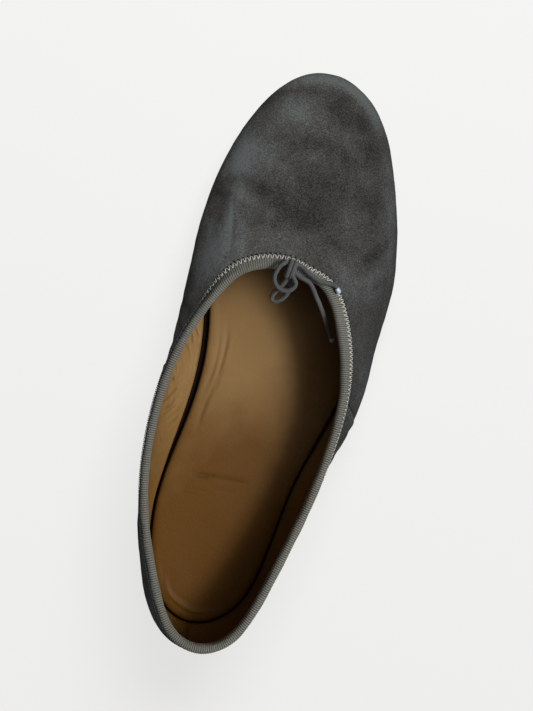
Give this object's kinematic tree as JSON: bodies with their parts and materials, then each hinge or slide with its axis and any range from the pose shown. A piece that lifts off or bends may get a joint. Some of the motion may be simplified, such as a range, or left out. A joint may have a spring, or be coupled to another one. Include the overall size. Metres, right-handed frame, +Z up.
{
  "type": "ballet flat",
  "caption": "Right ballet flat: hollow suede upper with a round toe, ribbon-bound collar with a small cord bow, tan insole, thin outsole and low heel.",
  "frame": {"origin": "on the floor, under the middle of the shoe's box, measured without the bow", "axes": "+Z up from the sole; the toe points along -Y and the heel is at +Y; -X is the outer side of the foot, the wearer's right"},
  "size_m": [0.0888, 0.25, 0.0529],
  "materials": {
    "suede": "napped suede, matte",
    "ribbon": "ribbed ribbon",
    "lining": "smooth tan leather, low sheen",
    "cord": "fine braided cord",
    "cord_tip": "clear coated tip",
    "leather_sole": "buffed sole leather",
    "rubber": "matte"
  },
  "bodies": {
    "root": {"outsole": "leather_sole", "heel": "rubber", "insole": "lining", "upper": "suede", "binding": "ribbon", "bow_knot": "cord", "bow_loop_upper": "cord", "bow_loop_lower": "cord", "bow_end_outer": "cord", "bow_end_inner": "cord", "bow_tip_outer": "cord_tip", "bow_tip_inner": "cord_tip"}
  },
  "joints": []
}
